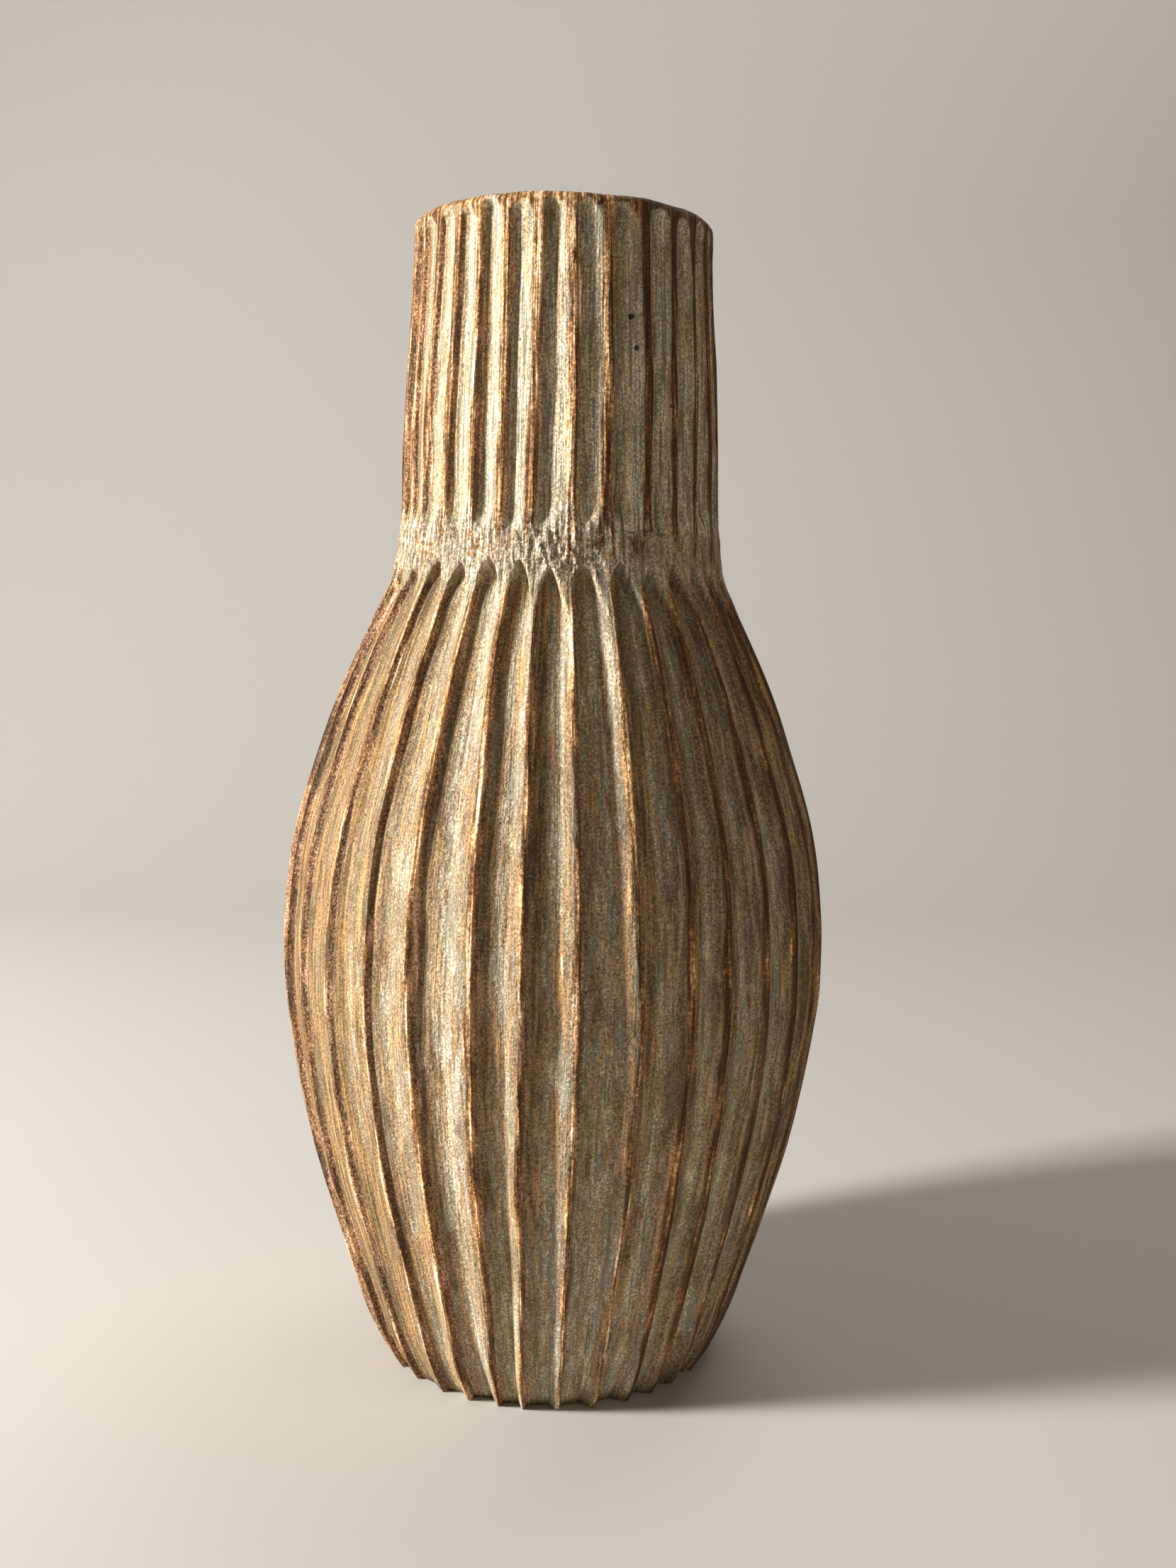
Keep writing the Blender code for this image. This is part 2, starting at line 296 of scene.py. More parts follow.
def belly_carving(rib, share, azimuth, z):
    """(depth cut, masks) of the belly's flutes, between ribs with a narrow crest."""
    tune = BELLY.tune[rib % BELLY.count]
    nibble = clay_noise(azimuth, z, around=4 * BELLY_RIBS, tall=0.006, seed=21)
    wave = clay_noise(azimuth, z, around=BELLY_RIBS, tall=0.028, seed=22)
    low = 1 - smooth_step(0.0, 0.07, z)
    shallow = shallow_side(azimuth) * (1 - 0.45 * smooth_step(0.17, 0.22, z))
    facing = np.exp(-((from_front(azimuth) - 2) / 26) ** 2)

    # Section: down a steep edge, over a floor that falls a little, and up a soft flank.
    foot_of_edge = 0.075 + 0.02 * tune[:, 0] + 0.018 * nibble
    floor_end = 0.53 + (0.10 + 0.05 * low) * facing + 0.04 * tune[:, 1] + 0.04 * wave
    crest_start = 0.93 + 0.02 * tune[:, 2] + 0.03 * wave + 0.015 * nibble
    steep = 1 - smooth_step(0.0, foot_of_edge, share)
    flank = rising_flank(share, floor_end, crest_start)
    hollow = -0.07 * np.sin(np.pi * np.clip((share - 0.04) / 0.5, 0, 1))
    falling = (0.40 - 0.24 * shallow) * np.clip(1 - share / floor_end, 0, 1)
    height = np.maximum(np.maximum(steep, flank), falling) + hollow * (1 - flank)

    # Upper end: an arched gouge tip, scooped out just below it.
    tip = SHOULDER + 0.0004 + 0.0016 * tune[:, 3] + 0.0003 * nibble
    arch = tip - 0.0100 * np.abs((share - 0.34) / 0.44) ** 1.7
    carved = smooth_step(-0.0004, 0.0030, arch - z)
    scoop = 0.25 * np.exp(-(((z - tip + 0.0060) / 0.0050) ** 2))

    # Depth, and nicks along the crest.
    deeper = 0.14 * tune[:, 4] + 0.12 * wave + scoop + 0.24 * low + 0.08 * facing
    cut = BELLY_DEPTH * (1 + deeper) * (1 - 0.40 * shallow) * (1 - height) * carved
    cut = cut + 0.00045 * (np.maximum(nibble, 0.25) - 0.25) * (share > 0.8)

    # Masks for the finish.
    end = 1 - smooth_step(SHOULDER - 0.016, SHOULDER - 0.003, z)
    width = (0.15 + 0.03 * tune[:, 5] + 0.04 * wave) * (1 - 0.35 * low) * (1 - 0.30 * shallow)
    # On the right of the pot's face the rubbed crests are painted broader: painted shade.
    width = width * (1 - 0.25 * facing + 0.35 * in_the_lee(azimuth))
    bare = worn_crest(share, width, lean=0.18, top=1.06) * (0.35 + 0.65 * end) * (1 - 0.35 * shallow)
    edge = hump(share, 0.045, 0.050, top=1.25) * carved
    rising = smooth_step(0.40, 0.88, share) * carved * (0.55 + 0.45 * smooth_step(0.02, 0.10, z))
    stain = hump(share, 0.20, 0.28) * carved
    stain = stain * (0.35 + 0.65 * smooth_step(0.03, 0.12, z)) * (0.75 + 0.5 * tune[:, 2])
    return cut, {"bare": bare, "flank": rising, "edge": edge, "stain": stain}


def neck_carving(rib, share, azimuth, z):
    """(depth cut, masks) of the neck's flutes, between ribs with a broad flat crest."""
    tune = NECK.tune[rib % NECK.count]
    nibble = clay_noise(azimuth, z, around=4 * NECK_RIBS, tall=0.007, seed=51)
    wave = clay_noise(azimuth, z, around=NECK_RIBS, tall=0.026, seed=52)
    calm = between(from_front(azimuth), 12, 30, 80, 110)

    # Section: down a steep edge, over a hollow floor, and up a soft flank.
    foot_of_edge = 0.10 + 0.02 * tune[:, 0] + 0.02 * nibble
    floor_end = 0.33 + 0.05 * tune[:, 1] + 0.05 * wave
    crest_start = 0.88 + 0.05 * tune[:, 2] + 0.04 * wave + 0.02 * nibble
    steep = 1 - smooth_step(0.0, foot_of_edge, share)
    flank = rising_flank(share, floor_end, crest_start)
    hollow = -0.15 * np.sin(np.pi * np.clip((share - 0.05) / 0.42, 0, 1))
    height = np.maximum(steep, flank) + hollow * (1 - flank)

    # Both ends are bowed: the lower one at the luted band, the upper one below the rim.
    low_end = NECK_START - 0.0010 + 0.0024 * tune[:, 3] + 0.0006 * nibble
    bow = 0.0045 * np.abs((share - 0.33) / 0.38) ** 2
    high_end = HEIGHT - 0.0022 - 0.0010 * calm + 0.0012 * tune[:, 4] + 0.0004 * nibble
    arch = 0.0024 * np.abs((share - 0.33) / 0.36) ** 2
    carved = smooth_step(-0.0010, 0.0060, z - low_end - bow)
    carved = carved * smooth_step(-0.0002, 0.0030, high_end - arch - z)

    # Depth, and nicks along the crest.
    depth = NECK_DEPTH * (1 + 0.15 * tune[:, 4] + 0.12 * wave) * (1 - 0.30 * shallow_side(azimuth))
    cut = depth * (1 - height) * carved
    cut = cut + 0.00035 * (np.maximum(nibble, 0.25) - 0.25) * (share > 0.66)

    # Masks for the finish. The rim above the flutes is rubbed bare too, in smears.
    width = 0.19 + 0.05 * tune[:, 5] + 0.04 * wave
    above = smooth_step(high_end - 0.0015, high_end + 0.0006, z + arch)
    smeared = smooth_step(-0.1, 0.5, clay_noise(azimuth, z, around=40, tall=0.006, seed=55)) * (1 - calm)
    bare = worn_crest(share, width, lean=0.42, top=1.20)
    bare = np.maximum(bare, (0.85 - 0.25 * calm - 0.5 * smeared) * above)
    edge = hump(share, 0.06, 0.055, top=1.25) * carved
    rising = smooth_step(0.36, 0.82, share) * carved * 0.5
    stain = hump(share, 0.20, 0.24) * carved * (0.7 + 0.4 * tune[:, 2])
    return cut, {"bare": bare, "flank": rising, "edge": edge, "stain": stain}


# ---------------------------------------------------------------- surfaces: (radius, masks) of a row
def fluted_surface(azimuth, z, cut, torn, masks):
    """Surface that is cut this deep under the rib crests, and torn where torn is above 0."""
    # The pieces also carry a mask of painted shade, for the right of the pot's face.
    masks.update(torn=torn, toast=toasted(azimuth, z), lee=in_the_lee(azimuth))
    radius = crest_radius(z) - cut + tool_marks(azimuth, z) + torn_clay(azimuth, z) * torn
    return radius, masks


def uncut(cut, limit=0.0012):
    """1 where the surface still stands as high as the crests, 0 in a flute."""
    return 1 - smooth_step(0.0002, limit, cut)


def belly_surface(rib, share, azimuth, z):
    cut, masks = belly_carving(rib, share, azimuth, z)
    torn = smooth_step(SHOULDER - 0.007, SHOULDER, z) * uncut(cut) * roughness_of_band(azimuth)
    return fluted_surface(azimuth, z, cut + lone_marks(azimuth, z), torn, masks)


def neck_surface(rib, share, azimuth, z):
    cut, masks = neck_carving(rib, share, azimuth, z)
    torn_top = NECK_START + 0.0080 + 0.004 * NECK.tune[rib % NECK.count, 1]
    torn = 1 - smooth_step(NECK_START, torn_top, z)
    torn = torn * (0.4 + 0.6 * uncut(cut)) * roughness_of_band(azimuth)
    return fluted_surface(azimuth, z, cut + lone_marks(azimuth, z), torn, masks)


def collar_surface(rib, share, azimuth, z):
    """The luted band, cut into by the flutes of both walls."""
    cut, masks = belly_carving(rib, share, azimuth, z)
    neck_rib, neck_share = NECK.place(azimuth, float(z.mean()))
    neck_cut, neck_masks = neck_carving(neck_rib, neck_share, azimuth, z)
    t = smooth_step(SHOULDER, NECK_START, z)
    for key in masks:
        masks[key] = masks[key] * (1 - t) + neck_masks[key] * t
    band = np.sin(np.pi * np.clip((z - SHOULDER) / (NECK_START - SHOULDER), 0, 1)) ** 0.5
    patchy = 0.40 + 0.40 * clay_noise(azimuth, z, around=130, tall=0.010, seed=77)
    masks["bare"] = masks["bare"] * (1 - 0.8 * band) + np.clip(patchy, 0, 1) * band
    torn = uncut(cut + 0.5 * neck_cut, limit=0.0014) * roughness_of_band(azimuth)
    return fluted_surface(azimuth, z, cut + neck_cut, torn, masks)


# ---------------------------------------------------------------- modelling
def deselect():
    if bpy.context.mode != "OBJECT":
        bpy.ops.object.mode_set(mode="OBJECT")
    bpy.ops.object.select_all(action="DESELECT")


def rolled_tube(name, columns, rows):
    """A slab of clay, columns by rows quads, that is still flat: x counts columns and y counts rows."""
    deselect()
    bpy.ops.mesh.primitive_grid_add(x_subdivisions=columns, y_subdivisions=rows, size=1)
    obj = bpy.context.active_object
    obj.name = name
    obj.data.name = name
    co = np.empty(len(obj.data.vertices) * 3)
    obj.data.vertices.foreach_get("co", co)
    co = co.reshape(-1, 3)
    column = np.rint((co[:, 0] + 0.5) * columns).astype(int)
    row = np.rint((co[:, 1] + 0.5) * rows).astype(int)
    return obj, column, row


def close_up(obj):
    """Joins the rolled slab's edges and turns its faces outwards."""
    deselect()
    obj.select_set(True)
    bpy.context.view_layer.objects.active = obj
    bpy.ops.object.mode_set(mode="EDIT")
    bpy.ops.mesh.select_all(action="SELECT")
    bpy.ops.mesh.remove_doubles(threshold=0.000005)
    bpy.ops.mesh.normals_make_consistent(inside=False)
    bpy.ops.object.mode_set(mode="OBJECT")
    bpy.ops.object.shade_smooth_by_angle(angle=math.radians(62))


def thrown_wall(name, columns, grid):
    """Closed turned wall. grid is (radius, azimuth, z, masks), arrays of rows by columns + 1."""
    radius, azimuth, z, masks = grid
    rows = radius.shape[0] - 1
    obj, column, row = rolled_tube(name, columns, rows)
    angle = np.radians(azimuth[row, column] - 90)
    r = radius[row, column]
    co = np.stack([r * np.cos(angle), r * np.sin(angle), z[row, column]], axis=1)
    obj.data.vertices.foreach_set("co", co.ravel())
    for key, values in masks.items():
        layer = obj.data.attributes.new(key, "FLOAT", "POINT")
        layer.data.foreach_set("value", values[row, column].astype(np.float32))
    close_up(obj)
    return obj


# Among these masks, one is painted shade on the right of the pot's face.
MASKS = ("bare", "flank", "edge", "stain", "torn", "toast", "lee", "inner")


def plain_rows(profile, azimuth, inner=1.0):
    """Rows of an unfluted stretch: one for each (radius, z) of the profile. inner is their mask."""
    count = azimuth.shape[0]
    rows = []
    for r, z in profile:
        masks = {k: np.zeros(count) for k in MASKS}
        masks["inner"] = np.full(count, inner)
        rows.append((np.full(count, r), azimuth, np.full(count, z), masks))
    return rows


def stacked(rows):
    """Rows of (radius, azimuth, z, masks) as the arrays that thrown_wall takes."""
    masks = {k: np.stack([row[3].get(k, 0 * row[0]) for row in rows]) for k in MASKS}
    return tuple(np.stack([row[i] for row in rows]) for i in range(3)) + (masks,)


def rib_columns(ribs):
    """(rib, share) of each mesh column. Columns stand closer together at a rib's steep edge."""
    rib, step = np.divmod(np.arange(ribs.count * RIB_COLUMNS + 1), RIB_COLUMNS)
    return rib, np.interp(step / RIB_COLUMNS, (0, STEEP_COLUMNS, 1), (0, STEEP_SHARE, 1))


def meet(*columns):
    """Gives the last column the values of the first one, so that a row closes round the vase."""
    for values in columns:
        values[-1] = values[0]


def rib_row(ribs, surface, z):
    """One row of a carved wall, its columns following the ribs."""
    rib, share = rib_columns(ribs)
    levels = np.full(rib.shape, z)
    edge = ribs.edge(rib, levels)
    azimuth = edge + share * (ribs.edge(rib + 1, levels) - edge)
    radius, masks = surface(rib, share, azimuth, levels)
    meet(radius, *masks.values())
    azimuth[-1] = azimuth[0] + 360
    return radius, azimuth, levels, masks


def levels_between(low, high, count, crowd_low=0.0, crowd_high=0.0):
    """Heights from low to high, closer together near the ends that are crowded."""
    t = np.linspace(0, 1, count)
    warp = t + crowd_high * np.sin(np.pi * t) / 4 - crowd_low * np.sin(np.pi * t) / 4
    return low + (high - low) * np.clip(warp, 0, 1)


def make_belly():
    """Belly wall, from the foot's outer edge up, over the spigot and down inside."""
    columns = BELLY.count * RIB_COLUMNS
    heights = levels_between(0.0, SHOULDER, BELLY_ROWS, crowd_high=0.9)
    outer = [rib_row(BELLY, belly_surface, z) for z in heights]
    outer[0][0][:] -= 0.0006     # a small chamfer on the foot
    azimuth_low, azimuth_high = outer[0][1], outer[-1][1]
    gap = SLAB_RADIUS + 0.0002
    floor = [
        (gap, 0.0), (gap, SLAB_TOP + 0.0012), (gap + 0.0022, SLAB_TOP + 0.0024),
        (gap + 0.0050, 0.0140), (gap + 0.0095, 0.0210), (gap + 0.0125, 0.0300),
    ]
    inside = [(float(crest_radius(z)) - WALL, z) for z in np.linspace(0.05, 0.245, 10)]
    throat = [
        (THROAT_RADIUS + 0.0006, SHOULDER - 0.003), (THROAT_RADIUS, SEAM), (SPIGOT_RADIUS, SEAM),
    ]
    rows = outer + plain_rows([(SPIGOT_RADIUS, SHOULDER)], azimuth_high, 0.0)
    rows += plain_rows(throat[::-1], azimuth_high, 0.0)
    rows += plain_rows((floor + inside)[::-1], azimuth_low)
    rows.append(outer[0])
    return thrown_wall("fluted_belly", columns, stacked(rows))


def make_collar():
    """Luted band, rounded off at its torn top. Its lowest row repeats the belly's highest one."""
    start = rib_row(BELLY, belly_surface, SHOULDER)
    azimuth = start[1]
    rib, share = rib_columns(BELLY)
    rows = [start]
    top = ragged_top(azimuth)
    for share_up in np.linspace(0, 1, COLLAR_ROWS)[1:]:
        z = SHOULDER + (top - SHOULDER) * share_up
        radius, masks = collar_surface(rib, share, azimuth, z)
        radius = radius + BAND_PROUD - 0.0006 * smooth_step(0.965, 1.0, share_up)
        meet(radius, z)
        rows.append((radius, azimuth, z, masks))
    bore = [(BAND_BORE, NECK_START - NECK_TUCK), (BAND_BORE, SHOULDER)]
    rows += plain_rows(bore, azimuth, 0.0)
    rows.append(rows[0])
    return thrown_wall("luted_collar", len(azimuth) - 1, stacked(rows))


def make_neck():
    """Neck wall. Behind the band's torn edge it steps back a little."""
    columns = NECK.count * RIB_COLUMNS
    heights = levels_between(NECK_START - NECK_TUCK, LIP, NECK_ROWS, crowd_low=0.5)
    outer = [rib_row(NECK, neck_surface, z) for z in heights]
    for radius, azimuth, z, _ in outer:
        radius -= 0.0005 * (1 - smooth_step(-0.0014, 0.0, z - ragged_top(azimuth)))
    azimuth_low, azimuth_high = outer[0][1], outer[-1][1]
    inside = [
        (MOUTH_RADIUS, LIP), (MOUTH_RADIUS + 0.0006, 0.335), (THROAT_RADIUS - 0.0008, 0.300),
        (THROAT_RADIUS - 0.0002, 0.275), (THROAT_RADIUS, SEAM),
    ]
    rows = outer + plain_rows(inside, azimuth_high)
    tuck = [(SPIGOT_RADIUS, SEAM), (SPIGOT_RADIUS, NECK_START - NECK_TUCK)]
    rows += plain_rows(tuck, azimuth_low, 0.0)
    rows.append(outer[0])
    return thrown_wall("fluted_neck", columns, stacked(rows))


# Rounding of the lip: how far in it goes, and how far below the top.
LIP_ROUNDING = (
    (0.0000, 0.0030), (0.0001, 0.0024), (0.0004, 0.0018), (0.0009, 0.0012), (0.0016, 0.0007),
    (0.0024, 0.0004), (0.0034, 0.0002), (0.0044, 0.0002),
)


def make_lip():
    """Bevelled lip. Its lowest row repeats the neck's highest, so that the flutes run into it."""
    start = rib_row(NECK, neck_surface, LIP)
    azimuth = start[1]
    rows = [start]
    wobble = 0.00016 * round_noise(azimuth, around=23, seed=61)
    wobble -= 0.00016 * np.maximum(round_noise(azimuth, around=90, seed=62), 0)
    straight = [(0.0, HEIGHT - z) for z in np.linspace(LIP + 0.0005, HEIGHT - 0.0035, 4)]
    for inward, below in straight + list(LIP_ROUNDING):
        radius, _, _, masks = rib_row(NECK, neck_surface, HEIGHT - max(below, 0.0012))
        softened = smooth_step(0.0030, 0.0004, below)
        radius = radius - inward + wobble * (0.3 + 0.7 * softened)
        z = np.full(azimuth.shape, HEIGHT - below) + wobble * softened
        masks["bare"] = np.maximum(masks["bare"], 0.85 * smooth_step(0.0016, 0.0005, below))
        meet(radius, z)
        rows.append((radius, azimuth, np.minimum(z, HEIGHT - 0.0001), masks))
    over = [
        (MOUTH_RADIUS + 0.0016, HEIGHT - 0.0005), (MOUTH_RADIUS + 0.0006, HEIGHT - 0.0013),
        (MOUTH_RADIUS + 0.0001, HEIGHT - 0.0026), (MOUTH_RADIUS, LIP),
    ]
    rows += plain_rows(over, azimuth, 0.6)
    rows.append(rows[0])
    return thrown_wall("bevelled_lip", len(azimuth) - 1, stacked(rows))


FLOOR_RINGS = 14


def make_floor_disc():
    """Floor disc with faint turned rings on both faces, sunk a little below its edge."""
    deselect()
    radius = SLAB_RADIUS
    bpy.ops.mesh.primitive_cylinder_add(
        vertices=160, radius=radius, depth=SLAB_TOP, location=(0, 0, SLAB_TOP / 2)
    )
    obj = bpy.context.active_object
    obj.name = "floor_disc"
    bpy.ops.object.transform_apply(location=True, rotation=True, scale=True)
    bpy.ops.object.mode_set(mode="EDIT")
    bpy.ops.mesh.select_all(action="DESELECT")
    bm = bmesh.from_edit_mesh(obj.data)
    for face in bm.faces:
        face.select = abs(face.normal.z) > 0.9
    bmesh.update_edit_mesh(obj.data)
    for _ in range(FLOOR_RINGS):
        bpy.ops.mesh.inset(thickness=radius / (FLOOR_RINGS + 2))
    bm = bmesh.from_edit_mesh(obj.data)
    for vert in bm.verts:
        out = math.hypot(vert.co.x, vert.co.y)
        if out > radius - 0.0005:
            continue
        if vert.co.z > SLAB_TOP / 2:
            vert.co.z -= 0.0006 + 0.0004 * math.sin(out * 1400)
        elif 0.006 < out < radius - 0.004:
            vert.co.z += 0.00025 + 0.00025 * math.sin(out * 1700)
    bmesh.update_edit_mesh(obj.data)
    bpy.ops.object.mode_set(mode="OBJECT")
    bevel = obj.modifiers.new("Edge", "BEVEL")
    bevel.width = 0.0010
    bevel.segments = 3
    bevel.limit_method = "ANGLE"
    bpy.ops.object.modifier_apply(modifier=bevel.name)
    bpy.ops.object.shade_smooth_by_angle(angle=math.radians(35))
    for key in MASKS:
        layer = obj.data.attributes.new(key, "FLOAT", "POINT")
        values = [0.0] * len(obj.data.vertices)
        if key == "bare":
            values = [1.0] * len(values)
        if key == "inner":
            values = [1.0 if v.co.z > SLAB_TOP / 2 else 0.0 for v in obj.data.vertices]
        layer.data.foreach_set("value", values)
    return obj


# ---------------------------------------------------------------- finishes
# Ramps from one colour of slip or clay to the next.
SLIP_RAMP = (
    (0.28, (0.37, 0.285, 0.160)), (0.41, (0.57, 0.475, 0.310)), (0.52, (0.74, 0.66, 0.51)),
    (0.66, (0.87, 0.82, 0.71)),
)
IRON_RAMP = (
    (0.38, (0.120, 0.056, 0.021)), (0.47, (0.26, 0.125, 0.045)), (0.54, (0.44, 0.230, 0.092)),
    (0.62, (0.60, 0.385, 0.205)), (0.70, (0.76, 0.62, 0.45)),
)
ROSE_RAMP = (
    (0.36, (0.15, 0.070, 0.035)), (0.52, (0.30, 0.155, 0.085)), (0.68, (0.48, 0.30, 0.19)),
)
LINER_RAMP = ((0.35, (0.16, 0.10, 0.055)), (0.65, (0.27, 0.18, 0.10)))

OLIVE_SLIP = (0.42, 0.335, 0.185)
GOLDEN_WASH = (0.60, 0.360, 0.138)
HAIRLINE_BROWN = (0.22, 0.118, 0.045)
BLOTCH_BROWN = (0.20, 0.118, 0.046)
CRUMB_CREAM = (0.76, 0.68, 0.54)
CRACK_BROWN = (0.30, 0.175, 0.085)
PIT_BROWN = (0.075, 0.042, 0.022)
MELTED_IRON = (0.030, 0.014, 0.012)

WHEEL_REACH = 0.07               # radius at which a pattern round the pot keeps its own scale

# Iron specks that have melted through: (azimuth, height, radius).
SPECKS = (
    (24.8, 0.3258, 0.00062), (26.6, 0.3170, 0.00045), (41.0, 0.3015, 0.00052),
    (40.5, 0.2765, 0.00042),
)


def place_node(tree, kind, inputs=None, **settings):
    """Adds a node. inputs maps socket names or numbers to sockets, which are linked, or to values."""
    node = tree.nodes.new(kind)
    for key, value in settings.items():
        setattr(node, key, value)
    for key, value in (inputs or {}).items():
        if isinstance(value, bpy.types.NodeSocket):
            tree.links.new(value, node.inputs[key])
        else:
            node.inputs[key].default_value = value
    return node


def new_group(name, inputs, outputs):
    """An empty shader group. inputs maps names to values, and outputs maps names to socket types."""
    group = bpy.data.node_groups.new(name, "ShaderNodeTree")
    for title, value in inputs.items():
        socket = group.interface.new_socket(name=title, in_out="INPUT", socket_type="NodeSocketFloat")
        socket.default_value = value
    for title, kind in outputs.items():
        group.interface.new_socket(name=title, in_out="OUTPUT", socket_type=kind)
    return group, group.nodes.new("NodeGroupInput"), group.nodes.new("NodeGroupOutput")


class Mixer:
    """A node tree, with the sums and blends that finishes are mixed from."""

    def __init__(self, tree):
        self.tree = tree

    def node(self, kind, inputs=None, **settings):
        return place_node(self.tree, kind, inputs, **settings)

    def calc(self, operation, a, b=0.0, c=0.0):
        return self.node("ShaderNodeMath", {0: a, 1: b, 2: c}, operation=operation).outputs[0]

    def vector(self, operation, inputs):
        return self.node("ShaderNodeVectorMath", inputs, operation=operation)

    def times(self, a, b):
        return self.calc("MULTIPLY", a, b)

    def plus(self, *terms):
        total = terms[0]
        for term in terms[1:]:
            total = self.calc("ADD", total, term)
        return total

    def swing(self, value, amount):
        """A noise value that runs from 0 to 1, as a swing of plus or minus amount round zero."""
        return self.calc("MULTIPLY_ADD", value, 2 * amount, -amount)

    def soft_cut(self, value, low, high):
        """0 at low, 1 at high, smooth between; low may be the greater one."""
        node = self.node(
            "ShaderNodeMapRange",
            {"Value": value, "From Min": low, "From Max": high},
            interpolation_type="SMOOTHSTEP",
        )
        return node.outputs["Result"]

    def noise(self, vector, scale, detail=3.0, rough=0.55):
        node = self.node(
            "ShaderNodeTexNoise",
            {"Vector": vector, "Scale": scale, "Detail": detail, "Roughness": rough},
        )
        return node.outputs["Fac"]

    def ramp(self, factor, stops):
        node = self.node("ShaderNodeValToRGB", {"Fac": factor})
        elements = node.color_ramp.elements
        while len(elements) < len(stops):
            elements.new(0.5)
        for element, (place, color) in zip(elements, stops):
            element.position = place
            element.color = (*color, 1.0)
        return node.outputs["Color"]

    def blend(self, factor, first, second):
        node = self.node("ShaderNodeMix", {"Factor": factor}, data_type="RGBA")
        for key, value in (("A", first), ("B", second)):
            socket = next(s for s in node.inputs if s.name == key and s.type == "RGBA")
            if isinstance(value, bpy.types.NodeSocket):
                self.tree.links.new(value, socket)
            else:
                socket.default_value = (*value, 1.0)
        return next(s for s in node.outputs if s.type == "RGBA")


def wheel_coordinates():
    """Coordinates that follow a turned wall: around it, and up it at another rate."""
    group, given, result = new_group(
        "Wheel coordinates", {"Upright": 1.0}, {"Vector": "NodeSocketVector"}
    )
    mix = Mixer(group)
    here = mix.node("ShaderNodeTexCoord").outputs["Object"]
    apart = mix.node("ShaderNodeSeparateXYZ", {0: here})
    flat = mix.node("ShaderNodeCombineXYZ", {"X": apart.outputs[0], "Y": apart.outputs[1]})
    out = mix.vector("NORMALIZE", {0: flat.outputs[0]})
    ring = mix.vector("SCALE", {0: out.outputs[0], "Scale": WHEEL_REACH})
    rise = mix.times(apart.outputs[2], given.outputs["Upright"])
    lift = mix.node("ShaderNodeCombineXYZ", {"Z": rise})
    whole = mix.vector("ADD", {0: ring.outputs[0], 1: lift.outputs[0]})
    group.links.new(whole.outputs[0], result.inputs["Vector"])
    return group


def iron_specks():
    """Mask of a few dark melted specks on the neck, ragged at their edges."""
    group, _, result = new_group("Iron specks", {}, {"Mask": "NodeSocketFloat"})
    mix = Mixer(group)
    here = mix.node("ShaderNodeTexCoord").outputs["Object"]
    ragged = mix.calc("MULTIPLY_ADD", mix.noise(here, 1400.0, 2.0), 1.6, -0.8)
    spots = []
    for azimuth, z, size in SPECKS:
        angle = math.radians(azimuth - 90)
        radius = float(crest_radius(z)) - 0.001
        place = (radius * math.cos(angle), radius * math.sin(angle), z)
        away = mix.vector("DISTANCE", {0: here, 1: place}).outputs["Value"]
        near = mix.plus(mix.calc("DIVIDE", away, size), ragged)
        spots.append(mix.soft_cut(near, 2.0, 1.3))
    total = spots[0]
    for spot in spots[1:]:
        total = mix.calc("MAXIMUM", total, spot)
    group.links.new(total, result.inputs["Mask"])
    return group


class ClayMixer(Mixer):
    """Mixer that also has the pieces' masks and the noises of dragged and gritty clay."""

    def __init__(self, tree, wheel):
        super().__init__(tree)
        self.wheel = wheel
        self.bare, self.flank, self.edge = self.mask("bare"), self.mask("flank"), self.mask("edge")
        self.stain, self.torn, self.inner = self.mask("stain"), self.mask("torn"), self.mask("inner")
        # Besides the fired toast, one mask is painted shade on the right of the pot's face.
        self.toast, self.lee = self.mask("toast"), self.mask("lee")
        self.here = self.node("ShaderNodeTexCoord").outputs["Object"]
        self.hairs = self.noise(self.turned(0.050), 1050.0, 2.0)
        self.lines = self.noise(self.turned(0.070), 540.0, 3.0, 0.6)
        self.dragged = self.noise(self.turned(0.20), 330.0, 4.0, 0.65)
        self.patches = self.noise(self.turned(0.50), 85.0, 3.0)
        self.grain = self.noise(self.here, 1450.0, 2.0, 0.6)
        self.crumbs = self.noise(self.here, 750.0, 3.0, 0.65)
        self.clouds = self.noise(self.here, 30.0, 2.0)

    def mask(self, name):
        return self.node("ShaderNodeAttribute", attribute_name=name).outputs["Fac"]

    def turned(self, upright):
        """Wheel coordinates that stretch a noise upwards, the more the lower upright is."""
        node = self.node("ShaderNodeGroup", node_tree=self.wheel)
        node.inputs["Upright"].default_value = upright
        return node.outputs["Vector"]


def slip_coat(mix):
    """Beige slip where it is thin, cream where it lies thick, thin and olive on a flute's floor."""
    thick = mix.plus(
        mix.times(mix.patches, 0.6), mix.times(mix.dragged, 0.4),
        mix.swing(mix.lines, 0.25), mix.swing(mix.crumbs, 0.15),
    )
    color = mix.ramp(thick, SLIP_RAMP)
    sunk = mix.plus(
        mix.calc("MULTIPLY_ADD", mix.flank, -1.0, 0.75), mix.times(mix.torn, -0.5),
        mix.swing(mix.patches, 0.5),
    )
    return mix.blend(mix.times(mix.soft_cut(sunk, 0.1, 0.9), 0.45), color, OLIVE_SLIP)


def golden_wash(mix, color):
    """Golden wash on the way up to a crest."""
    # Less gold on the right of the pot's face: painted shade.
    gold = mix.plus(
        mix.times(mix.flank, 0.22), mix.times(mix.bare, 0.5), mix.times(mix.toast, 0.60),
        mix.swing(mix.lines, 1.4), mix.swing(mix.hairs, 0.8), mix.swing(mix.patches, 0.8),
        mix.times(mix.lee, -0.22),
    )
    return mix.blend(mix.times(mix.soft_cut(gold, 0.22, 0.85), 0.80), color, GOLDEN_WASH)


